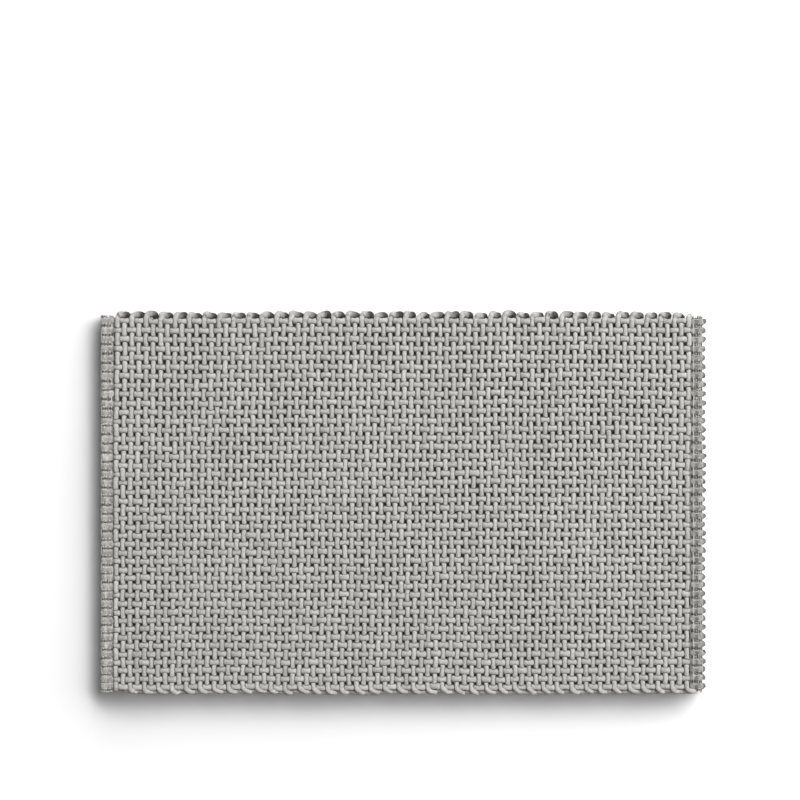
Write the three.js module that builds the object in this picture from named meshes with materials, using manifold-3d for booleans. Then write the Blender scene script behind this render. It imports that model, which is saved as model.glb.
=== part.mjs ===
// Bath mat, woven in plain weave from thick, soft cotton cord.
//
// The warps are separate cords that lie side by side and run the length of the mat (X). The weft is one
// cord that goes back and forth across them (Y), pick after pick, and turns round the outermost warp at
// each long side, so both long sides are selvedges. At the two short sides the cut warp ends are
// overlocked: a looper thread covers them above, another covers them below, and two needle threads sew
// the pair down.
//
// Each cord is a plain straight bar here. The warps lie on the floor and the picks lie on the warps, which
// gives the mat its true thickness of two cords, and the weft's turns reach down past the outermost warp.
//
// Millimetres. X along the mat, Y across it, Z up. The origin is the middle of the underside.

import * as THREE from 'three';
import { mergeVertices } from 'three/addons/utils/BufferGeometryUtils.js';
import Module from 'manifold-3d';

// ---------------------------------------------------------------- driving dimensions

const matLength = 800;        // over the points of the two overlocked ends
const matWidth = 505;         // over the weft's turns
const warpCount = 43;         // cords along the mat
const pickCount = 81;         // passes of the weft across the mat
const spacingTaper = 0.05;    // how much wider apart than average the warps lie at the far side

const cordWidth = 6.3;        // both cords, as the weave squeezes them
const cordHeight = 5.9;
const cordChamfer = 1.7;      // stands for the cord's round sides

const farTurnDepth = 9.4;     // the weft's turns stand out this far past the last warp at the far side
const nearTurnDepth = 5.4;    // and are pulled tighter at the near side

const leftBandWidth = 18.5;   // overlocked strips at the short sides
const rightBandWidth = 21.4;
const pointDepth = 4;         // how far the edge runs back between two warp ends

const looperThickness = 1.2;  // one layer of looper thread
const needleThickness = 1;    // a needle thread's stitches, side by side as one bar
const innerSeamInset = 1.5;   // the two seams, from the band's inner side
const outerSeamInset = 9;

const restGap = 0.3;          // between two pieces that rest on each other

// ---------------------------------------------------------------- places worked out from them

const fieldLeft = leftBandWidth - matLength / 2;   // the woven field ends here, and the bands begin
const fieldRight = matLength / 2 - rightBandWidth;
const pickSpacing = (fieldRight - fieldLeft - cordWidth) / (pickCount - 1);

const farTurnInner = matWidth / 2 - farTurnDepth;  // the weft's turns lie between these and the long sides
const nearTurnInner = nearTurnDepth - matWidth / 2;
const farWarpY = farTurnInner - restGap - cordWidth / 2;
const nearWarpY = nearTurnInner + restGap + cordWidth / 2;

const warpEndBottom = looperThickness + restGap;
const pickBottom = cordHeight + restGap;
const pickTop = pickBottom + cordHeight;
const seamBottom = pickBottom + looperThickness + restGap;

// Centre of a pick, counted from the left.
function pickX(pick) {
  return fieldLeft + cordWidth / 2 + pick * pickSpacing;
}

// Centre of a warp, counted from the far side. The taper adds a parabola to an even spacing.
function warpY(warp) {
  const share = warp / (warpCount - 1);
  const across = share + spacingTaper * share * (1 - share);
  return farWarpY + (nearWarpY - farWarpY) * across;
}

// ---------------------------------------------------------------- solids

const wasm = await Module();
wasm.setup();

// A closed geometry as a solid that can be joined.
function solid(geometry) {
  const bare = geometry.index ? geometry.toNonIndexed() : geometry.clone();
  bare.deleteAttribute('normal');
  bare.deleteAttribute('uv');
  const merged = mergeVertices(bare, 1e-3);
  return new wasm.Manifold(new wasm.Mesh({
    numProp: 3,
    vertProperties: merged.attributes.position.array,
    triVerts: new Uint32Array(merged.index.array),
  }));
}

// The joined solid as a geometry that a mesh can show.
function geometryOf(manifold) {
  const { vertProperties, triVerts } = manifold.getMesh();
  const geometry = new THREE.BufferGeometry();
  geometry.setAttribute('position', new THREE.BufferAttribute(new Float32Array(vertProperties), 3));
  geometry.setIndex(new THREE.BufferAttribute(new Uint32Array(triVerts), 1));
  geometry.computeVertexNormals();
  return geometry;
}

function outlineShape(outline) {
  return new THREE.Shape(outline.map(([x, y]) => new THREE.Vector2(x, y)));
}

// A flat outline in X and Y, given as [x, y] pairs, raised from one height to another.
function plate(outline, bottom, top) {
  const shape = outlineShape(outline);
  const geometry = new THREE.ExtrudeGeometry(shape, { depth: top - bottom, bevelEnabled: false });
  geometry.translate(0, 0, bottom);
  return geometry;
}

// The same with its edges cut off all round, which turns a narrow outline into a cord.
function cordPlate(outline, thickness) {
  const geometry = new THREE.ExtrudeGeometry(outlineShape(outline), {
    depth: thickness - 2 * cordChamfer,
    bevelSegments: 1,
    bevelThickness: cordChamfer,
    bevelSize: cordChamfer,
    bevelOffset: -cordChamfer,
  });
  geometry.translate(0, 0, cordChamfer);
  return geometry;
}

function block(x0, x1, y0, y1, bottom, top) {
  const geometry = new THREE.BoxGeometry(x1 - x0, y1 - y0, top - bottom);
  geometry.translate((x0 + x1) / 2, (y0 + y1) / 2, (bottom + top) / 2);
  return geometry;
}

// ---------------------------------------------------------------- warp cords

// The cord's side view, turned up on edge. It lies on the floor under the field, and steps up over the
// lower looper thread where it runs on into the bands.
function warpGeometry() {
  const tip = matLength / 2 - looperThickness - restGap;
  const geometry = cordPlate([
    [fieldLeft, 0], [fieldRight, 0], [fieldRight, warpEndBottom], [tip, warpEndBottom],
    [tip, cordHeight], [-tip, cordHeight], [-tip, warpEndBottom], [fieldLeft, warpEndBottom],
  ], cordWidth);
  geometry.rotateX(Math.PI / 2);
  geometry.translate(0, cordWidth / 2, 0);
  return geometry;
}

function warpCords(material) {
  const cords = new THREE.Group();
  const geometry = warpGeometry();
  for (let warp = 0; warp < warpCount; warp++) {
    const cord = new THREE.Mesh(geometry, material);
    cord.name = `warp_cord_${String(warp + 1).padStart(2, '0')}`;
    cord.position.y = warpY(warp);
    cords.add(cord);
  }
  return cords;
}

// ---------------------------------------------------------------- weft cord

// Points of the weft's centreline: up the first pick, over to the next, down it, and so on.
function weftLine() {
  const turnY = (matWidth - cordWidth) / 2;
  const points = [];
  for (let pick = 0; pick < pickCount; pick++) {
    const from = pick % 2 ? turnY : -turnY;
    points.push([pickX(pick), from], [pickX(pick), -from]);
  }
  points[0][1] = -matWidth / 2;
  points.at(-1)[1] = matWidth / 2 * Math.sign(points.at(-1)[1]);
  return points;
}

// One side of a line of square turns, moved out by half a cord.
function offsetSide(points, distance) {
  return points.map(([x, y], i) => {
    const [xa, ya] = points[Math.max(i - 1, 0)];
    const [xb, yb] = points[Math.min(i + 1, points.length - 1)];
    const before = new THREE.Vector2(x - xa, y - ya).normalize();
    const after = new THREE.Vector2(xb - x, yb - y).normalize();
    return [x - distance * (before.y + after.y), y + distance * (before.x + after.x)];
  });
}

function weftGeometry() {
  const line = weftLine();
  const half = cordWidth / 2;
  const layer = cordPlate([...offsetSide(line, -half), ...offsetSide(line, half).reverse()], cordHeight);
  layer.translate(0, 0, pickBottom);

  // Each turn, and each loose end, hugs the outermost warp and reaches down to the floor.
  const inset = cordChamfer;
  const turns = [];
  for (let pick = -1; pick < pickCount; pick++) {
    const first = Math.max(pick, 0);
    const last = Math.min(pick + 1, pickCount - 1);
    const farSide = Math.abs(pick) % 2 === 0;
    const [y0, y1] = farSide ? [farTurnInner, matWidth / 2] : [-matWidth / 2, nearTurnInner];
    turns.push(block(pickX(first) - half + inset, pickX(last) + half - inset, y0, y1, 0, pickTop - inset));
  }
  return geometryOf(turns.reduce((whole, turn) => whole.add(solid(turn)), solid(layer)));
}

function weftCord(material) {
  const cord = new THREE.Mesh(weftGeometry(), material);
  cord.name = 'weft_cord';
  return cord;
}

// ---------------------------------------------------------------- overlocked short sides

// The right band's plan: straight along the field, with a point over each warp end.
function bandOutline(bandWidth) {
  const inner = matLength / 2 - bandWidth + restGap;
  const point = matLength / 2;
  const valley = point - pointDepth;
  const far = farWarpY + cordWidth / 2;
  const near = nearWarpY - cordWidth / 2;
  const outline = [[inner, far], [inner, near], [valley, near]];
  for (let warp = warpCount - 1; warp >= 0; warp--) {
    outline.push([point, warpY(warp)]);
    if (warp > 0) outline.push([valley, (warpY(warp) + warpY(warp - 1)) / 2]);
  }
  outline.push([valley, far]);
  return outline;
}

// One overlocked side. The left one is turned over to face the other way.
function overlockedSide(side, bandWidth, looperMaterial, needleMaterial) {
  const outward = side === 'right' ? 1 : -1;
  const outline = bandOutline(bandWidth).map(([x, y]) => [outward * x, y]);
  const group = new THREE.Group();
  const add = (name, geometry, material) => {
    const mesh = new THREE.Mesh(geometry, material);
    mesh.name = `${side}_${name}`;
    group.add(mesh);
    return mesh;
  };
  add('upper_looper_thread', plate(outline, pickBottom, pickBottom + looperThickness), looperMaterial);
  add('lower_looper_thread', plate(outline, 0, looperThickness), looperMaterial);
  for (const [name, inset] of [['inner', innerSeamInset], ['outer', outerSeamInset]]) {
    const bar = new THREE.BoxGeometry(needleThickness, farWarpY - nearWarpY + cordWidth, needleThickness);
    const seam = add(`${name}_needle_thread`, bar, needleMaterial);
    seam.position.x = outward * (matLength / 2 - bandWidth + inset);
    seam.position.y = (farWarpY + nearWarpY) / 2;
    seam.position.z = seamBottom + needleThickness / 2;
  }
  return group;
}

// ---------------------------------------------------------------- the mat

function cotton(colour) {
  return new THREE.MeshStandardMaterial({ color: colour, roughness: 0.95, metalness: 0 });
}

const warpCotton = cotton(0xb9b5b0);
const weftCotton = cotton(0xc4c3be);
const looperCotton = cotton(0xaeada9);
const needleCotton = cotton(0x9d9c98);

const mat = new THREE.Group();
mat.add(warpCords(warpCotton));
mat.add(weftCord(weftCotton));
mat.add(overlockedSide('left', leftBandWidth, looperCotton, needleCotton));
mat.add(overlockedSide('right', rightBandWidth, looperCotton, needleCotton));

export default mat;
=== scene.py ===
"""Bath mat, woven in plain weave from thick, soft cotton cord.

Warp cords run along the mat (X) and one long weft cord goes back and forth across them (Y). Each cord
goes over one neighbour and under the next, and where two meet they press each other flat. The sections
below follow the mat as it is made: the warps, the weft, the overlocked short sides, and then the studio
that it is shown in.
"""

import bpy
import numpy as np
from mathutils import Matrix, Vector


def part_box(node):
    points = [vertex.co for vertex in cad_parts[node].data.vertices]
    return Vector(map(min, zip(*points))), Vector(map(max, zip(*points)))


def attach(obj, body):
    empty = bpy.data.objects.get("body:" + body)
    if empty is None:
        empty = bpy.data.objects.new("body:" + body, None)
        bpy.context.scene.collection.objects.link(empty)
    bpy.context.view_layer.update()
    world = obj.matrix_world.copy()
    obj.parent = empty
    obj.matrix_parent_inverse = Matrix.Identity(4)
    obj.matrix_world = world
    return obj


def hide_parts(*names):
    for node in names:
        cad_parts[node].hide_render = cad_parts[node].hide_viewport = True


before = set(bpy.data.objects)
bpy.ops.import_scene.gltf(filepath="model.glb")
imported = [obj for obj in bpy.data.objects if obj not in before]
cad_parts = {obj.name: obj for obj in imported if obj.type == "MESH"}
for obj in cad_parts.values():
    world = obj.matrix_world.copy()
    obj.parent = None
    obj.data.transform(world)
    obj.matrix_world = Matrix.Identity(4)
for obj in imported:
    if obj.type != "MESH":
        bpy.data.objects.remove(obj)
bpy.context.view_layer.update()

# ------------------------------------------------------------------------------------------------
# Warp cords. 43 separate cords of soft cotton, held on the loom and cut at both short sides. Between
# two picks a warp goes from one face to the other. Past the last pick it runs on into the overlock,
# which pinches it at two seams, and ends in a blunt point.
# ------------------------------------------------------------------------------------------------

mm = 0.001
rng = np.random.default_rng(81)

warp_count = sum(name.startswith("warp_cord_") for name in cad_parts)
pick_count = 81
warp_boxes = [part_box(f"warp_cord_{warp + 1:02d}") for warp in range(warp_count)]
weft_low, weft_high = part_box("weft_cord")
cord_width = warp_boxes[0][1].y - warp_boxes[0][0].y
middle_z = (weft_low.z + weft_high.z) / 2

first_pick_x = weft_low.x + cord_width / 2
last_pick_x = weft_high.x - cord_width / 2
pick_spacing = (last_pick_x - first_pick_x) / (pick_count - 1)
warp_middles = np.array([(low.y + high.y) / 2 for low, high in warp_boxes])
warp_spacing = (warp_middles[0] - warp_middles[-1]) / (warp_count - 1)

# The picks lean a little and the warps rise a little to the right, most of all in the mat's middle.
pick_lean, more_lean = 0.005, 0.009
warp_rise = 0.0045


def with_neighbours(row, spacing):
    """A row of places with one more at each end."""
    return np.concatenate([[row[0] - spacing], row, [row[-1] + spacing]])


def unevenness(together, alone):
    """How far each crossing is off: a part shared with its neighbours and a part of its own.

    The shared part is noise averaged over a square of crossings, from differences of its running sums.
    """
    square, margin = 9, 16
    noise = rng.normal(size=(pick_count + 2 + margin, warp_count + 2 + margin))
    sums = np.cumsum(np.cumsum(noise, 0), 1)
    shared = sums[square:, square:] - sums[:-square, square:]
    shared = shared - sums[square:, :-square] + sums[:-square, :-square]
    shared = shared[: pick_count + 2, : warp_count + 2]
    own = rng.normal(size=shared.shape) * alone
    return together * shared / shared.std() + np.clip(own, -2 * alone, 2 * alone)


# Each warp crosses each pick of the weft once, and every place in the weave follows from the crossings.
# Hand-beaten cord never lies quite evenly, so each one is a little off. The tables go by pick and warp,
# with one place more at each side, so that an edge has neighbours too.
across_x = with_neighbours(first_pick_x + pick_spacing * np.arange(pick_count), pick_spacing)
along_y = with_neighbours(warp_middles, -warp_spacing)
crossing = np.empty((pick_count + 2, warp_count + 2, 2))
middle_x = 1 - (across_x[:, None] / across_x[-1]) ** 2
middle_y = 1 - (along_y[None, :] / along_y[0]) ** 2
lean = along_y[None, :] * (pick_lean + more_lean * middle_x)
crossing[..., 0] = across_x[:, None] + lean + unevenness(together=0.45 * mm, alone=0.4 * mm)
crossing[..., 1] = along_y[None, :] + across_x[:, None] * warp_rise * middle_y
crossing[..., 1] += unevenness(together=0.5 * mm, alone=0.5 * mm)
parity = np.add.outer(np.arange(-1, pick_count + 1), np.arange(-1, warp_count + 1)) % 2
weft_over = np.where(parity, -1, 1)
weft_size = 1 + unevenness(together=0.02, alone=0.05)
warp_size = 1 + unevenness(together=0.02, alone=0.07)

# A soft cord is narrow where the other one grips it, and fuller on its way from one face to the other.
# The weft lies flat and drops late, and the warp rounds off sooner.
cord_height = (weft_high.z - weft_low.z) / 2
weft_shape = {"gripped": 3.3 * mm, "free": 3.65 * mm, "drop": 2.6}
warp_shape = {"gripped": 3.65 * mm, "free": 4.4 * mm, "drop": 2.0}
squareness = 2.5              # 2 is an ellipse, and a larger number a fuller section
cord_faces = 12               # round a cord
crossing_steps = 8            # along a cord, from one crossing to the next
bend_steps = 5                # between two knots of a turn or of a stitched end
floor_gap = 0.05 * mm         # no cord reaches lower


def drop(share, power):
    """From 1 at a crossing to 0 at the next one, as a quarter of a superellipse with the power given."""
    return (1 - np.clip(share, 0, 1) ** power) ** (1 / power)


def middle_and_half_height(share, size_here, size_there, over, power):
    """A cord's centre height and half height between two crossings, share of the way from the first.

    At a crossing the cord fills the mat from the middle to one face, and at the next one from the
    middle to the other face. In between, its two faces follow the drop, one forwards and one backwards.
    """
    near = cord_height * size_here * drop(share, power)
    far = cord_height * size_there * drop(1 - share, power)
    return middle_z + over * (near - far) / 2, (near + far) / 2


def share_of_radius(points, pick, warp, weft):
    """How deep points lie in a cord near one crossing: 0 on its centreline and 1 on its surface.

    points is an array of rings of points, and pick and warp give each ring's crossing. The depth is a
    superellipse of the sideways and the upright distance, each as a share of the cord's half size.
    """
    along = 1 if weft else 0
    size, shape = (weft_size, weft_shape) if weft else (warp_size, warp_shape)
    pick, warp = pick[:, None] + 1, warp[:, None] + 1
    here = crossing[pick, warp]
    side = np.where(points[..., along] > here[..., along], 1, -1)
    beside = (pick, warp - side) if weft else (pick + side, warp)
    there = crossing[beside]
    span = there[..., along] - here[..., along]
    share = np.clip((points[..., along] - here[..., along]) / span, 0, 1)
    middle = here[..., 1 - along] + share * (there[..., 1 - along] - here[..., 1 - along])
    over = weft_over[pick, warp] * (1 if weft else -1)
    height, half_height = middle_and_half_height(
        share, size[pick, warp], size[beside], over, shape["drop"]
    )
    half_width = shape["gripped"] + (shape["free"] - shape["gripped"]) * 4 * share * (1 - share)
    sideways = np.abs(points[..., 1 - along] - middle) / (half_width * size[pick, warp])
    upright = np.abs(points[..., 2] - height) / half_height
    return (sideways ** squareness + upright ** squareness) ** (1 / squareness)


def curve_through(knots, steps):
    """Catmull-Rom curve through rows of numbers, with steps[i] rows from knot i on and the last knot.

    Returns the rows, and for each row the knot before it and the share of the way to the next one.
    """
    padded = np.vstack([2 * knots[0] - knots[1], knots, 2 * knots[-1] - knots[-2]])
    before = np.repeat(np.arange(len(steps)), steps)
    share = (np.arange(len(before)) - np.repeat(np.cumsum(steps) - steps, steps)) / steps[before]
    a, b, c, d = (padded[before + i] for i in range(4))
    t = share[:, None]
    rows = b + t * ((c - a) + t * ((2 * a - 5 * b + 4 * c - d) + t * (3 * b - a - 3 * c + d))) / 2
    return np.vstack([rows, knots[-1]]), np.append(before, len(steps) - 1), np.append(share, 1.0)


def slices_along(line, half_width, half_height):
    """From each point of a centreline to the points of an upright superellipse across it.

    A point at an angle lies half a width times its cosine aside and half a height times its sine up,
    with both raised to 2 / squareness.
    """
    ahead = np.gradient(line[:, :2], axis=0)
    ahead /= np.linalg.norm(ahead, axis=1, keepdims=True)
    level = np.stack([-ahead[:, 1], ahead[:, 0], np.zeros(len(line))], 1)
    turn = 2 * np.pi * (np.arange(cord_faces) + 0.5) / cord_faces
    wide = np.sign(np.cos(turn)) * np.abs(np.cos(turn)) ** (2 / squareness)
    high = np.sign(np.sin(turn)) * np.abs(np.sin(turn)) ** (2 / squareness)
    spokes = half_width[:, None, None] * wide[None, :, None] * level[:, None, :]
    spokes[..., 2] += half_height[:, None] * high[None, :]
    return spokes


def pressed(line, spokes, pick, warp, against_weft):
    """Shortens the spokes that reach into the other cord.

    Each such point is drawn in along its spoke, by halving, to where it is as deep in its own cord as
    in the other. Both cords do so, and meet in one shared face, short of a hair's breadth.
    """
    hair, halvings = 0.992, 8
    centre = line[:, None, :]
    low = np.zeros(spokes.shape[:2])
    high = np.ones(spokes.shape[:2])
    free = share_of_radius(centre + spokes, pick, warp, against_weft) >= 1
    for _ in range(halvings):
        half = (low + high) / 2
        own = half < share_of_radius(centre + half[..., None] * spokes, pick, warp, against_weft)
        low = np.where(own, half, low)
        high = np.where(own, high, half)
    return spokes * np.where(free, 1.0, low * hair)[..., None]


def depth_in_mat(rings, middle, reach):
    """How deep points lie in the mat: 1 at its middle height, and 0 a reach above or below that."""
    return np.clip(1 - np.abs(rings[..., 2] - middle) / reach, 0, 1)


def tube_mesh(name, rings, length_along, shade, depth):
    """A closed tube from rings of points, capped at both ends.

    Its UV map holds the length along the cord in metres, and the share of the way round. The shade
    attribute has one number for each ring, for the cord's own light and dark stretches, and a second
    attribute has one for each point: painted shade, for the dark places in the weave.
    """
    count, around = rings.shape[:2]
    ends = np.stack([rings[0].mean(0), rings[-1].mean(0)])
    points = np.concatenate([rings.reshape(-1, 3), ends])
    ring, spoke = (a.ravel() for a in np.meshgrid(np.arange(count - 1), np.arange(around), indexing="ij"))
    after = (spoke + 1) % around
    row, next_row = ring * around, (ring + 1) * around
    quads = np.stack([row + spoke, row + after, next_row + after, next_row + spoke], 1)
    spin = np.arange(around)
    start_cap = np.stack([(spin + 1) % around, spin, np.full(around, count * around)], 1)
    last = (count - 1) * around
    end_cap = np.stack([last + spin, last + (spin + 1) % around, np.full(around, count * around + 1)], 1)
    corners = np.concatenate([quads.ravel(), start_cap.ravel(), end_cap.ravel()]).astype(np.int32)
    sizes = np.concatenate([np.full(len(quads), 4), np.full(2 * around, 3)])

    mesh = bpy.data.meshes.new(name)
    mesh.vertices.add(len(points))
    mesh.vertices.foreach_set("co", points.astype(np.float32).ravel())
    mesh.loops.add(len(corners))
    mesh.loops.foreach_set("vertex_index", corners)
    mesh.polygons.add(len(sizes))
    mesh.polygons.foreach_set("loop_start", (np.cumsum(sizes) - sizes).astype(np.int32))
    mesh.polygons.foreach_set("use_smooth", np.ones(len(sizes), bool))
    mesh.update(calc_edges=True)

    u = length_along[np.stack([ring, ring, ring + 1, ring + 1], 1)]
    v = np.stack([spoke, spoke + 1, spoke + 1, spoke], 1) / around
    cap_u = np.concatenate([np.full(3 * around, length_along[0]), np.full(3 * around, length_along[-1])])
    cap_v = np.tile(np.stack([spin, spin + 1, spin + 0.5], 1).ravel() / around, 2)
    uv = mesh.uv_layers.new(name="along_cord")
    coordinates = np.stack([np.concatenate([u.ravel(), cap_u]), np.concatenate([v.ravel(), cap_v])], 1)
    uv.data.foreach_set("uv", coordinates.astype(np.float32).ravel())
    tones = np.concatenate([np.repeat(shade, around), shade[[0, -1]]])
    painted_shade_values = np.concatenate([depth.ravel(), [depth[0].mean(), depth[-1].mean()]])
    mesh.attributes.new("shade", "FLOAT", "POINT").data.foreach_set("value", tones.astype(np.float32))
    mesh.attributes.new("depth", "FLOAT", "POINT").data.foreach_set("value", painted_shade_values.astype(np.float32))
    return mesh


def add_piece(mesh, material, node):
    """The mesh as a piece that rides on the mat, stands for a CAD node and has its finish in a slot."""
    mesh.materials.append(material)
    piece = bpy.data.objects.new(mesh.name, mesh)
    bpy.context.scene.collection.objects.link(piece)
    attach(piece, "root")
    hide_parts(node)


def length_of(line):
    """The length along a centreline up to each of its points."""
    return np.concatenate([[0], np.cumsum(np.linalg.norm(np.diff(line, axis=0), axis=1))])


# All the cords and threads are soft, matte cotton in warm grey. Fibres run along a cord with a slight
# twist, its colour wanders a little, and it has painted shade deep in the weave, darker than on the
# faces.
def add_node(tree, kind, **settings):
    """A shader node of one kind, with its settings."""
    node = tree.nodes.new(kind)
    for name, value in settings.items():
        setattr(node, name, value)
    return node


def make_fibre_group():
    """Fibres: a noise stretched along the cord by its UV map, for streaks, a coarse one and a fine one.

    The streaks' noise is read on a cylinder, at the length along the cord, and at the cosine and the sine
    of the angle round it, which grows along the cord by the twist.
    """
    tree = bpy.data.node_groups.new("cotton_fibres", "ShaderNodeTree")
    side = tree.interface
    for name, value in (("Streaks per metre", 180.0), ("Streaks round", 9.0), ("Twist", 55.0)):
        side.new_socket(name, in_out="INPUT", socket_type="NodeSocketFloat").default_value = value
    for name in ("Streak", "Blotch", "Fuzz", "Height"):
        side.new_socket(name, in_out="OUTPUT", socket_type="NodeSocketFloat")
    inputs = add_node(tree, "NodeGroupInput")
    outputs = add_node(tree, "NodeGroupOutput")
    link = tree.links.new

    uv = add_node(tree, "ShaderNodeUVMap", uv_map="along_cord")
    split = add_node(tree, "ShaderNodeSeparateXYZ")
    link(uv.outputs["UV"], split.inputs[0])
    twisted = add_node(tree, "ShaderNodeMath", operation="MULTIPLY_ADD")
    link(split.outputs["X"], twisted.inputs[0])
    link(inputs.outputs["Twist"], twisted.inputs[1])
    link(split.outputs["Y"], twisted.inputs[2])
    round_angle = add_node(tree, "ShaderNodeMath", operation="MULTIPLY")
    round_angle.inputs[1].default_value = 2 * np.pi
    link(twisted.outputs[0], round_angle.inputs[0])
    cosine = add_node(tree, "ShaderNodeMath", operation="COSINE")
    sine = add_node(tree, "ShaderNodeMath", operation="SINE")
    link(round_angle.outputs[0], cosine.inputs[0])
    link(round_angle.outputs[0], sine.inputs[0])
    wide = add_node(tree, "ShaderNodeMath", operation="MULTIPLY")
    link(split.outputs["X"], wide.inputs[0])
    link(inputs.outputs["Streaks per metre"], wide.inputs[1])
    place = add_node(tree, "ShaderNodeCombineXYZ")
    link(wide.outputs[0], place.inputs["X"])
    for source, target in ((cosine, "Y"), (sine, "Z")):
        scaled = add_node(tree, "ShaderNodeMath", operation="MULTIPLY")
        link(source.outputs[0], scaled.inputs[0])
        link(inputs.outputs["Streaks round"], scaled.inputs[1])
        link(scaled.outputs[0], place.inputs[target])
    streak = add_node(tree, "ShaderNodeTexNoise")
    streak.inputs["Scale"].default_value = 1.0
    streak.inputs["Detail"].default_value = 3.0
    link(place.outputs[0], streak.inputs["Vector"])

    where = add_node(tree, "ShaderNodeTexCoord")
    fuzz = add_node(tree, "ShaderNodeTexNoise")
    fuzz.inputs["Scale"].default_value = 620.0
    fuzz.inputs["Detail"].default_value = 3.0
    link(where.outputs["Object"], fuzz.inputs["Vector"])
    blotch = add_node(tree, "ShaderNodeTexNoise")
    blotch.inputs["Scale"].default_value = 260.0
    blotch.inputs["Detail"].default_value = 2.0
    link(where.outputs["Object"], blotch.inputs["Vector"])
    height = add_node(tree, "ShaderNodeMath", operation="ADD")
    link(streak.outputs["Fac"], height.inputs[0])
    link(fuzz.outputs["Fac"], height.inputs[1])
    link(streak.outputs["Fac"], outputs.inputs["Streak"])
    link(blotch.outputs["Fac"], outputs.inputs["Blotch"])
    link(fuzz.outputs["Fac"], outputs.inputs["Fuzz"])
    link(height.outputs[0], outputs.inputs["Height"])
    return tree


fibre_group = make_fibre_group()


def cotton(name, light, dark, deep, streaks=(180.0, 9.0, 55.0), bump=0.6):
    """Cotton: the light and dark tones of its fibres, and the painted shade colour taken deep in the
    weave.
    """
    material = bpy.data.materials.new(name)
    material.use_nodes = True
    tree = material.node_tree
    link = tree.links.new
    shader = tree.nodes["Principled BSDF"]
    shader.inputs["Roughness"].default_value = 0.93
    shader.inputs["Specular IOR Level"].default_value = 0.15
    shader.inputs["Sheen Weight"].default_value = 0.12
    shader.inputs["Sheen Roughness"].default_value = 0.5

    fibres = add_node(tree, "ShaderNodeGroup", node_tree=fibre_group)
    for socket, value in zip(("Streaks per metre", "Streaks round", "Twist"), streaks):
        fibres.inputs[socket].default_value = value
    toned = add_node(tree, "ShaderNodeAttribute", attribute_name="shade").outputs["Fac"]
    effects = (("Streak", 0.3, 0.7, 0.3), ("Blotch", 0.3, 0.7, 0.2), ("Fuzz", 0.4, 0.6, 0.5))
    for effect, low, high, share in effects:
        spread = add_node(tree, "ShaderNodeMapRange")
        spread.inputs["From Min"].default_value = low
        spread.inputs["From Max"].default_value = high
        link(fibres.outputs[effect], spread.inputs["Value"])
        added = add_node(tree, "ShaderNodeMath", operation="MULTIPLY_ADD")
        added.inputs[1].default_value = share
        link(spread.outputs["Result"], added.inputs[0])
        link(toned, added.inputs[2])
        toned = added.outputs[0]
    surface = add_node(tree, "ShaderNodeMix", data_type="RGBA")
    surface.inputs["A"].default_value = (*dark, 1)
    surface.inputs["B"].default_value = (*light, 1)
    link(toned, surface.inputs["Factor"])
    # Painted shade: the colour goes towards the deep colour where the depth attribute is high.
    painted_shade_mask = add_node(tree, "ShaderNodeAttribute", attribute_name="depth")
    depth = add_node(tree, "ShaderNodeMapRange", interpolation_type="SMOOTHSTEP")
    depth.inputs["From Min"].default_value = 0.2
    depth.inputs["From Max"].default_value = 0.75
    link(painted_shade_mask.outputs["Fac"], depth.inputs["Value"])
    colour = add_node(tree, "ShaderNodeMix", data_type="RGBA")
    colour.inputs["B"].default_value = (*deep, 1)
    link(surface.outputs["Result"], colour.inputs["A"])
    link(depth.outputs["Result"], colour.inputs["Factor"])
    link(colour.outputs["Result"], shader.inputs["Base Color"])
    relief = add_node(tree, "ShaderNodeBump")
    relief.inputs["Strength"].default_value = bump
    relief.inputs["Distance"].default_value = 2.0 * mm
    link(fibres.outputs["Height"], relief.inputs["Height"])
    link(relief.outputs["Normal"], shader.inputs["Normal"])
    return material


# The deep colour of each cotton is painted shade for the deep places in the weave.
warp_cotton = cotton(
    "warp_cotton", light=(0.50, 0.485, 0.461), dark=(0.295, 0.284, 0.268), deep=(0.035, 0.029, 0.025)
)

end_middle_z = 4.3 * mm       # a warp's end lies lower than the weave, between the two looper threads
end_height = 3.2 * mm
end_width = 0.46 * warp_spacing
felted_lumps = 0.24 * mm      # how far the stitched ends' surface is uneven


def end_profile(side):
    """A warp's end from the field outwards, as rows of x, centre height, half width and half height.

    The seams pinch it to a share of its height, and it tapers to a share of its width at the point.
    """
    outward = 1 if side == "right" else -1
    seam_x = {
        row: sum(corner.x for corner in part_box(f"{side}_{row}_needle_thread")) / 2
        for row in ("inner", "outer")
    }
    band_low, band_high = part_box(f"{side}_upper_looper_thread")
    tip = band_high.x if side == "right" else band_low.x
    pinch, taper, point = (0.66, 3.7 * mm, 0.34) if side == "right" else (0.8, 3.0 * mm, 0.36)
    shoulder = tip - outward * taper
    lift = (0.4 if side == "right" else 1.5) * mm
    inner, outer = seam_x["inner"], seam_x["outer"]
    return np.array([
        (inner, end_middle_z + lift, 0.8 * end_width, end_height * pinch),
        ((inner + outer) / 2, end_middle_z, end_width, end_height),
        (outer, end_middle_z, 0.88 * end_width, end_height * pinch),
        ((outer + shoulder) / 2, end_middle_z, end_width, end_height),
        (shoulder, end_middle_z, 0.86 * end_width, 0.85 * end_height),
        (tip + outward * 0.4 * mm, end_middle_z, point * end_width, 0.4 * end_height),
    ])


end_profiles = {side: end_profile(side) for side in ("left", "right")}


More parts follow.
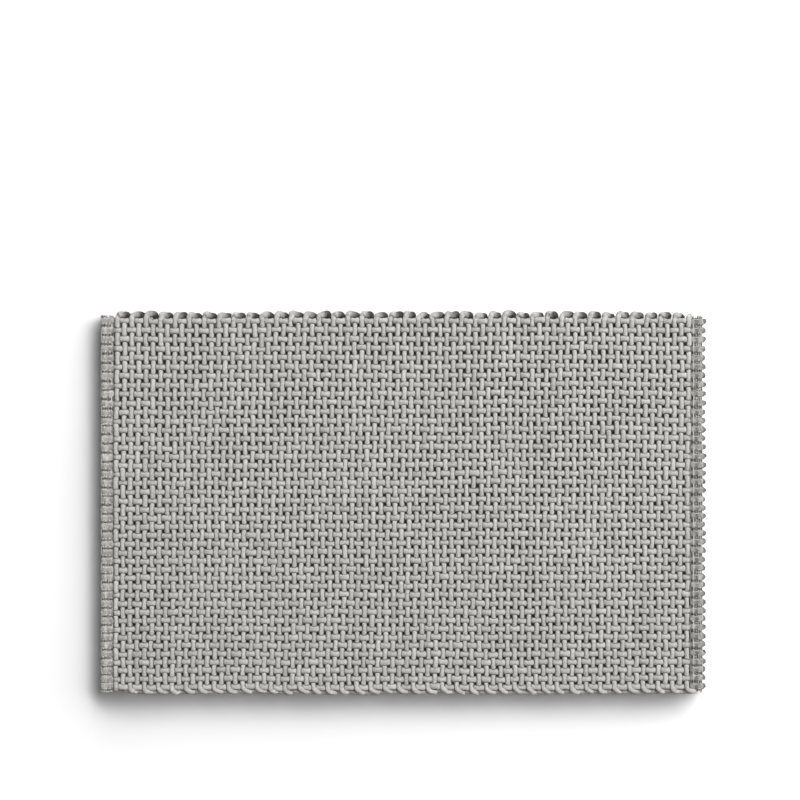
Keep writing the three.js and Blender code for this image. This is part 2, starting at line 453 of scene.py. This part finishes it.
def end_knots(side, warp):
    """Knots of one warp's end, from the field outwards: x, y, z, half width, half height and shade."""
    profile = end_profiles[side]
    y = crossing[pick_count if side == "right" else 1, warp + 1, 1]
    knots = np.empty((len(profile), 6))
    # Each end is cut and stitched a little differently.
    knots[:, 0] = profile[:, 0]
    knots[:, 1] = y + rng.normal(0, 0.3 * mm, len(profile))
    knots[-1, 0] += rng.uniform(-0.8, 0.8) * mm
    knots[-1, 1] += rng.normal(0, 0.7 * mm)
    knots[:, 2:5] = profile[:, 1:]
    knots[:, 3] *= 1 + rng.normal(0, 0.03)
    knots[:, 5] = rng.normal(-0.4, 0.35, len(profile))
    return knots


def warp_piece(warp):
    """One warp: knots at its crossings and in both bands, and a tube pressed against the picks."""
    picks = np.arange(1, pick_count + 1)
    size = warp_size[:, warp + 1]
    over = -weft_over[:, warp + 1]
    field = np.column_stack([
        crossing[picks, warp + 1],
        middle_z + over[picks] * cord_height * size[picks] / 2,
        warp_shape["gripped"] * size[picks],
        cord_height * size[picks] / 2,
        rng.normal(0, 0.12, pick_count),
    ])
    left = end_knots("left", warp)[::-1]
    right = end_knots("right", warp)
    knots = np.vstack([left, field, right])
    steps = np.full(len(knots) - 1, crossing_steps)
    steps[: len(left)] = bend_steps
    steps[-len(right):] = bend_steps
    rows, before, share = curve_through(knots, steps)
    line, half_width, half_height = rows[:, :3], rows[:, 3], rows[:, 4]
    pick = before - len(left)
    inside = (pick >= 0) & (pick < pick_count - 1)
    here = pick[inside] + 1
    line[inside, 2], half_height[inside] = middle_and_half_height(
        share[inside], size[here], size[here + 1], over[here], warp_shape["drop"]
    )
    fuller = (warp_shape["free"] - warp_shape["gripped"]) * 4 * share * (1 - share)
    half_width = half_width + np.where(inside, fuller, 0)
    spokes = slices_along(line, half_width, half_height)
    for ahead in (0, 1):
        beside = np.clip(pick + ahead, 0, pick_count - 1)
        spokes = pressed(line, spokes, beside, np.full(len(line), warp), against_weft=True)
    in_band = np.clip(np.maximum(-pick, pick - pick_count + 2), 0, 2)[:, None] / 2
    rings = line[:, None] + spokes
    rings += in_band[..., None] * rng.normal(0, felted_lumps, rings.shape)
    rings[..., 2] = np.maximum(rings[..., 2], floor_gap)
    middle = middle_z + in_band * (end_middle_z - middle_z)
    # Painted shade on the stitched ends: a little darkening all over the band, and less darkening in
    # their creases than in the field. The left ones get the least of both.
    band_painted_shade = np.where(pick[:, None] < 0, 0.05, 0.13)
    less_crease_shade = np.where(pick[:, None] < 0, 0.6, 0.3)
    depth = depth_in_mat(rings, middle, middle) * (1 - less_crease_shade * in_band) + band_painted_shade * in_band
    mesh = tube_mesh(f"warp_{warp + 1:02d}", rings, length_of(line), rows[:, 5], depth)
    add_piece(mesh, warp_cotton, f"warp_cord_{warp + 1:02d}")


for warp in range(warp_count):
    warp_piece(warp)

# ------------------------------------------------------------------------------------------------
# Weft cord. One cotton cord, about 50 m long, goes to and fro across the warps. At the far side it
# stands out in loose, round turns, and at the near side the turns are pulled tight and lean to the
# right. Its many faces are shared out over four stretches, which meet end to end.
# ------------------------------------------------------------------------------------------------

# Its deep colour is painted shade, as for the warps.
weft_cotton = cotton(
    "weft_cotton", light=(0.52, 0.514, 0.49), dark=(0.31, 0.305, 0.289), deep=(0.035, 0.029, 0.025)
)


def turn_knots(pick, far):
    """Knots of the turn after a pick, outside the last warp: x, y, z, half width and half height.

    A far turn goes from the upper face over the outermost warp's side and down to the lower face. A
    near turn runs far to the right beneath the mat, and slants back up to the left over the edge.
    """
    warp = 1 if far else warp_count
    x, y = crossing[pick + 1, warp]
    next_x, next_y = crossing[pick + 2, warp]
    gap = next_x - x
    if far:
        rows = [
            (x + 0.08 * gap, y + 5.0 * mm, middle_z + 2.6 * mm, 3.5 * mm, 3.2 * mm),
            (x + 0.32 * gap, y + 8.6 * mm, middle_z + 1.8 * mm, 4.3 * mm, 4.2 * mm),
            (x + 0.84 * gap, y + 7.5 * mm, middle_z - 0.4 * mm, 4.6 * mm, 4.2 * mm),
            (x + 1.26 * gap, y + 7.6 * mm, middle_z - 1.4 * mm, 4.5 * mm, 4.0 * mm),
            (x + 1.32 * gap, next_y + 4.8 * mm, middle_z - 2.2 * mm, 4.0 * mm, 3.6 * mm),
        ]
    else:
        rows = [
            (x + 0.22 * gap, y - 5.7 * mm, middle_z - 2.4 * mm, 3.1 * mm, 3.0 * mm),
            (x + 1.50 * gap, y - 6.6 * mm, middle_z - 1.8 * mm, 3.2 * mm, 3.2 * mm),
            (x + 2.12 * gap, y - 6.5 * mm, middle_z + 0.2 * mm, 2.8 * mm, 3.0 * mm),
            (x + 1.74 * gap, next_y - 6.2 * mm, middle_z + 2.2 * mm, 2.9 * mm, 3.2 * mm),
            (x + 1.26 * gap, next_y - 4.0 * mm, middle_z + 3.4 * mm, 3.1 * mm, 3.1 * mm),
        ]
    rows = np.array(rows)
    rows[:, :3] += rng.normal(0, (0.7 if far else 0.4) * mm, (len(rows), 3))
    return rows


def weft_knots():
    """Every knot of the weft in order, with each one's pick and warp, and its number in a turn or 0."""
    knots, places = [], []

    def add(rows, pick, warp, turning):
        knots.extend(rows)
        places.extend((pick, warp, turning * (number + 1)) for number in range(len(rows)))

    # The cord starts at the near left corner and ends at the far right one, short of a turn.
    near_warp = warp_count - 1
    x, y = crossing[1, warp_count]
    start = [(x + 0.5 * mm, y - 6.4 * mm, middle_z + 0.4 * mm, 2.6 * mm, 2.4 * mm)]
    add(start, 0, near_warp, True)
    for pick in range(pick_count):
        far = pick % 2 == 0
        order = range(warp_count - 1, -1, -1) if far else range(warp_count)
        for warp in order:
            size = weft_size[pick + 1, warp + 1]
            over = weft_over[pick + 1, warp + 1]
            row = (*crossing[pick + 1, warp + 1], middle_z + over * cord_height * size / 2,
                   weft_shape["gripped"] * size, cord_height * size / 2)
            add([row], pick, warp, False)
        if pick < pick_count - 1:
            add(turn_knots(pick, far), pick, 0 if far else near_warp, True)
    x, y = crossing[pick_count, 1]
    end = [
        (x + 0.8 * mm, y + 6.2 * mm, middle_z + 1.6 * mm, 3.2 * mm, 3.0 * mm),
        (x + 4.4 * mm, y + 8.2 * mm, middle_z - 0.6 * mm, 3.0 * mm, 2.8 * mm),
    ]
    add(end, pick_count - 1, 0, True)
    return np.array(knots), np.array(places, dtype=int)


knots, places = weft_knots()
tone = np.convolve(rng.normal(0, 0.3, len(knots) + 8), np.ones(9) / 9, "valid")
tone += rng.normal(0, 0.07, len(knots))
knots = np.column_stack([knots, tone])
in_turn = (places[:-1, 2] | places[1:, 2]).astype(bool)
rows, before, share = curve_through(knots, np.where(in_turn, bend_steps, crossing_steps))
line, half_width, half_height = rows[:, :3], rows[:, 3], rows[:, 4]
here, there = places[before], places[before + 1]
flat = ~in_turn[before]
size_here, size_there = (weft_size[place[flat, 0] + 1, place[flat, 1] + 1] for place in (here, there))
over = weft_over[here[flat, 0] + 1, here[flat, 1] + 1]
line[flat, 2], half_height[flat] = middle_and_half_height(
    share[flat], size_here, size_there, over, weft_shape["drop"]
)
fuller = (weft_shape["free"] - weft_shape["gripped"]) * 4 * share * (1 - share)
half_width = half_width + np.where(flat, fuller, 0)
spokes = slices_along(line, half_width, half_height)
for place in (here, there):
    spokes = pressed(line, spokes, place[:, 0], place[:, 1], against_weft=False)
length_along = length_of(line)
rings = line[:, None] + spokes
rings[..., 2] = np.maximum(rings[..., 2], floor_gap)
# The turns get less of the painted shade deep in the weave, and a far turn gets more painted shade the
# further it has gone down.
far_turn_painted_shade = ((1 - share) * here[:, 2] + share * there[:, 2]) * (line[:, 1] > 0) * 0.12
depth = depth_in_mat(rings, middle_z, middle_z) * np.where(in_turn[before], 0.3, 1)[:, None]
depth += far_turn_painted_shade[:, None]

stretches = 4
cuts = np.linspace(0, len(line) - 1, stretches + 1).astype(int)
for number, (start, end) in enumerate(zip(cuts[:-1], cuts[1:])):
    part = slice(start, end + 1)
    mesh = tube_mesh(
        f"weft_{number + 1}", rings[part], length_along[part], rows[part, 5], depth[part]
    )
    add_piece(mesh, weft_cotton, "weft_cord")

# ------------------------------------------------------------------------------------------------
# Overlocked short sides. A looper thread zigzags over the warp ends and another under them, and the two
# meet at the outer edge. Two needle threads sew them down in rows of stitches, which draw the ends in
# and cross the dips between them.
# ------------------------------------------------------------------------------------------------

# The threads' deep colour is painted shade as well.
looper_cotton = cotton(
    "looper_cotton", light=(0.60, 0.594, 0.57), dark=(0.40, 0.395, 0.38), deep=(0.1, 0.09, 0.08),
    streaks=(300.0, 2.0, 400.0), bump=0.4,
)
needle_cotton = cotton(
    "needle_cotton", light=(0.50, 0.49, 0.47), dark=(0.39, 0.38, 0.365), deep=(0.1, 0.09, 0.08),
    streaks=(300.0, 2.0, 400.0), bump=0.4,
)
looper_radius = {"left": 0.55 * mm, "right": 0.65 * mm}
needle_radius = 0.7 * mm
looper_faces, needle_faces = 6, 8
# Rows of looper strands across the dips, in mm from the field, between and beyond the two seams.
strand_rows = {
    "left": (3.4, 5.3, 7.2, 10.9, 12.8, 14.7, 16.4, 17.9),
    "right": (5.2, 12.0, 14.6, 16.8),
}


def end_rows(side):
    """The places in Y of a band's warp ends, from the far side."""
    return crossing[pick_count if side == "right" else 1, 1:-1, 1]


def end_half_height(side, x):
    """Half the height of a band's warp ends at a place in X."""
    profile = end_profiles[side]
    order = np.argsort(profile[:, 0])
    return np.interp(x, profile[order, 0], profile[order, 3])


def thread_mesh(name, line, radius, around, tone):
    """A thread along a line of points, with its own tone: circles of the radius square to the line."""
    ahead = np.gradient(line, axis=0)
    ahead /= np.linalg.norm(ahead, axis=1, keepdims=True)
    aside = np.cross(ahead, np.array([0.3, 0.2, 1.0]))
    aside /= np.linalg.norm(aside, axis=1, keepdims=True)
    upward = np.cross(aside, ahead)
    turn = 2 * np.pi * np.arange(around) / around
    rings = line[:, None] + radius * (
        np.cos(turn)[None, :, None] * aside[:, None] - np.sin(turn)[None, :, None] * upward[:, None]
    )
    # Painted shade: the deeper a thread lies in the band, the darker it is.
    depth = depth_in_mat(rings, end_middle_z, 1.2 * end_height)
    return tube_mesh(name, rings, length_of(line), rng.normal(tone, 0.2, len(line)), depth)


def looper_line(side, upper):
    """A looper's way: strands to and fro across a dip, row by row, then on to the next dip.

    A strand leaves one warp end's flank, bridges the dip and sinks into the next end's flank, and the
    thread moves on to its next row inside the cord. In every second dip the rows are taken backwards.
    """
    outward = 1 if side == "right" else -1
    start_x = weft_high.x if side == "right" else weft_low.x
    end_y = end_rows(side)
    # Outside the outermost ends there is half a dip more, which is stitched as well.
    outside, half_dip, half_end = 5.0 * mm, 2.2 * mm, 2.6 * mm
    between = (end_y[1:] + end_y[:-1]) / 2
    dips = np.concatenate([[end_y[0] + outside], between, [end_y[-1] - outside]])
    half_gap = np.concatenate([[half_dip], (end_y[:-1] - end_y[1:]) / 2 - half_end, [half_dip]])
    strands = np.array(strand_rows[side])
    rows = np.array([strands if dip % 2 == 0 else strands[::-1] for dip in range(len(dips))])
    rows = rows + rng.normal(0, 0.28, rows.shape)
    x = start_x + outward * rows * mm
    across = np.array([1.0, 0.72, 0.0, -0.72, -1.0])
    down = np.where(np.arange(rows.shape[1]) % 2 == 0, 1, -1)
    reach = half_gap[:, None] * (1 + rng.normal(0, 0.1, rows.shape))
    y = dips[:, None, None] + down[None, :, None] * across * reach[..., None]
    y += rng.normal(0, 0.3 * mm, rows.shape)[..., None]
    rise = end_half_height(side, x)[..., None] * np.array([0.88, 0.9, 0.25, 0.9, 0.88])
    z = end_middle_z + (1 if upper else -1) * rise
    x = x[..., None] + rng.normal(0, 0.12 * mm, y.shape)
    return np.stack([x, y, np.broadcast_to(z, y.shape)], -1).reshape(-1, 3)


def needle_line(side, row):
    """A needle thread's row: it sinks into each warp end, and bridges the dip between two of them.

    Its height goes up with the squared sine of how far it is off the nearest warp end's middle.
    """
    profile = end_profiles[side]
    x, _, _, half_height = profile[0 if row == "inner" else 2]
    end_y = end_rows(side)
    outside, count = 5.5 * mm, 500
    y = np.linspace(end_y[0] + outside, end_y[-1] - outside, count)
    nearest = np.abs(y[:, None] - end_y).argmin(1)
    off = np.clip(np.abs(y - end_y[nearest]) / (warp_spacing / 2), 0, 1)
    bridging = np.sin(np.pi / 2 * np.clip(off * 1.6 - 0.3, 0, 1)) ** 2
    z = end_middle_z + half_height * (0.42 + 0.2 * bridging)
    sway = rng.normal(0, 0.35 * mm, warp_count)[nearest]
    sway = np.convolve(np.pad(sway, 6, "edge"), np.ones(13) / 13, "valid")
    return np.stack([x + sway, y, z], 1)


# The right band's threads get a darker tone than the left's: painted shade.
for side, tone in (("left", 0.1), ("right", -0.6)):
    for layer in ("upper", "lower"):
        line = looper_line(side, layer == "upper")
        radius = looper_radius[side]
        mesh = thread_mesh(f"{side}_{layer}_looper", line, radius, looper_faces, tone)
        add_piece(mesh, looper_cotton, f"{side}_{layer}_looper_thread")
    for row in ("inner", "outer"):
        line = needle_line(side, row)
        mesh = thread_mesh(f"{side}_{row}_needle", line, needle_radius, needle_faces, tone - 0.4)
        add_piece(mesh, needle_cotton, f"{side}_{row}_needle_thread")

# ------------------------------------------------------------------------------------------------
# Studio: a pale floor, and a camera straight above it. A wide low window at the far right and a weak
# bounce light the floor, and a high key light and a ceiling light the mat, all of them soft.
# ------------------------------------------------------------------------------------------------

floor_mesh = bpy.data.meshes.new("floor")
floor_mesh.from_pydata([(-4, -4, 0), (4, -4, 0), (4, 4, 0), (-4, 4, 0)], [], [(0, 1, 2, 3)])
floor = bpy.data.objects.new("floor", floor_mesh)
bpy.context.scene.collection.objects.link(floor)
floor_paint = bpy.data.materials.new("floor_paint")
floor_paint.use_nodes = True
paint = floor_paint.node_tree.nodes["Principled BSDF"]
paint.inputs["Base Color"].default_value = (0.8, 0.8, 0.8, 1)
paint.inputs["Roughness"].default_value = 0.9
floor_mesh.materials.append(floor_paint)


def add_light(name, place, width, height, power, lit):
    """A broad soft light that faces the middle of the mat, and lights only the objects given."""
    lamp = bpy.data.lights.new(name, "AREA")
    lamp.shape = "RECTANGLE"
    lamp.size = width
    lamp.size_y = height
    lamp.energy = power
    light = bpy.data.objects.new(name, lamp)
    light.location = place
    direction = -light.location.normalized()
    light.rotation_euler = direction.to_track_quat("-Z", "Y").to_euler()
    bpy.context.scene.collection.objects.link(light)
    receivers = bpy.data.collections.new(f"lit_by_{name}")
    for piece in lit:
        receivers.objects.link(piece)
    light.light_linking.receiver_collection = receivers


meshes = [piece for piece in bpy.context.scene.collection.objects if piece.type == "MESH"]
pieces_of_mat = [piece for piece in meshes if piece != floor]
add_light("window", (7.4, 6.44, 1.8), 20.0, 4.0, 11000, [floor])
add_light("key", (2.2, 2.8, 3.7), 3.0, 3.0, 470, pieces_of_mat)
add_light("ceiling", (-0.2, -0.6, 3.2), 5.0, 5.0, 52, pieces_of_mat)
add_light("bounce", (-0.2, -0.6, 3.2), 5.0, 5.0, 22, [floor])
world = bpy.data.worlds.new("studio")
world.use_nodes = True
sky = world.node_tree.nodes["Background"]
sky.inputs["Color"].default_value = (1, 1, 1, 1)
sky.inputs["Strength"].default_value = 0.08
bpy.context.scene.world = world
bpy.context.scene.view_settings.view_transform = "Standard"

camera_height = 1.6
field_of_view_width = 1.0544
camera_data = bpy.data.cameras.new("camera")
camera_data.lens = camera_data.sensor_width * (camera_height - weft_high.z) / field_of_view_width
camera = bpy.data.objects.new("camera", camera_data)
camera.location = (-0.0041, 0.1355, camera_height)
bpy.context.scene.collection.objects.link(camera)
bpy.context.scene.camera = camera
